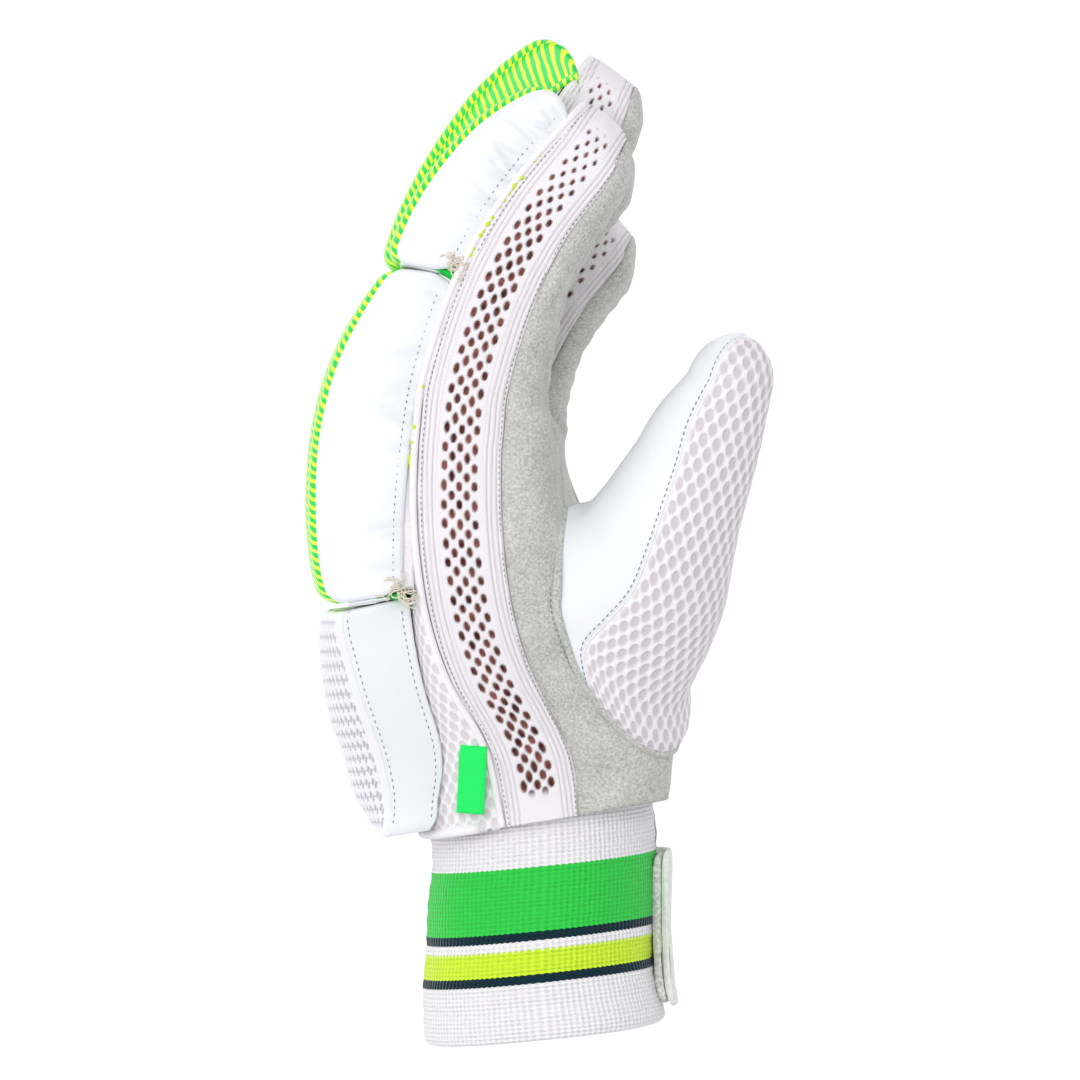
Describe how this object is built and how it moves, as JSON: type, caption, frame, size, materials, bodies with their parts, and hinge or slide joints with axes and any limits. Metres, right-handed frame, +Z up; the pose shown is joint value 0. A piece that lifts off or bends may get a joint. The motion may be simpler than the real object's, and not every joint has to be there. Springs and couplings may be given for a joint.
{
  "type": "cricket batting glove",
  "caption": "Left-hand batting glove with padded finger rolls, a padded block on the back of the hand, a free thumb, a suede palm and a striped wrist cuff with a strap.",
  "frame": {"origin": "under the middle of the glove, on the surface that its little-finger side lies on", "axes": "+X points out of the palm, +Y along the hand from the cuff to the fingertips, +Z up, from the little finger to the index finger"},
  "size_m": [0.1236, 0.27, 0.1097],
  "materials": {
    "leather": "smooth white leather over foam, slightly glossy",
    "print": "smooth leather printed in green with yellow stripes",
    "embossed": "embossed white leather",
    "suede": "grey suede with dark flecks, matt",
    "knit": "perforated white knit",
    "mesh": "white spacer mesh",
    "cuff": "white towelling with green, navy and yellow stripes",
    "strap": "hook-and-loop tape",
    "tag": "folded green woven tag"
  },
  "bodies": {
    "root": {"palm": "suede", "backing": "mesh", "index_panel": "knit", "little_panel": "knit", "index_fourchette": "knit", "middle_fourchette": "knit", "ring_fourchette": "knit", "little_fourchette": "knit", "little_lower_roll": "leather", "little_lower_face": "print", "little_upper_roll": "leather", "little_upper_face": "print", "ring_lower_roll": "leather", "ring_lower_face": "print", "ring_upper_roll": "leather", "ring_upper_face": "print", "middle_lower_roll": "leather", "middle_lower_face": "print", "middle_upper_roll": "leather", "middle_upper_face": "print", "index_lower_roll": "leather", "index_lower_face": "print", "index_upper_roll": "leather", "index_upper_face": "print", "back_block": "leather", "back_block_face": "embossed", "thumb_leather": "leather", "thumb_suede": "suede", "thumb_mesh": "mesh", "cuff": "cuff", "strap_loop": "strap", "strap": "strap", "tag": "tag"}
  },
  "joints": []
}
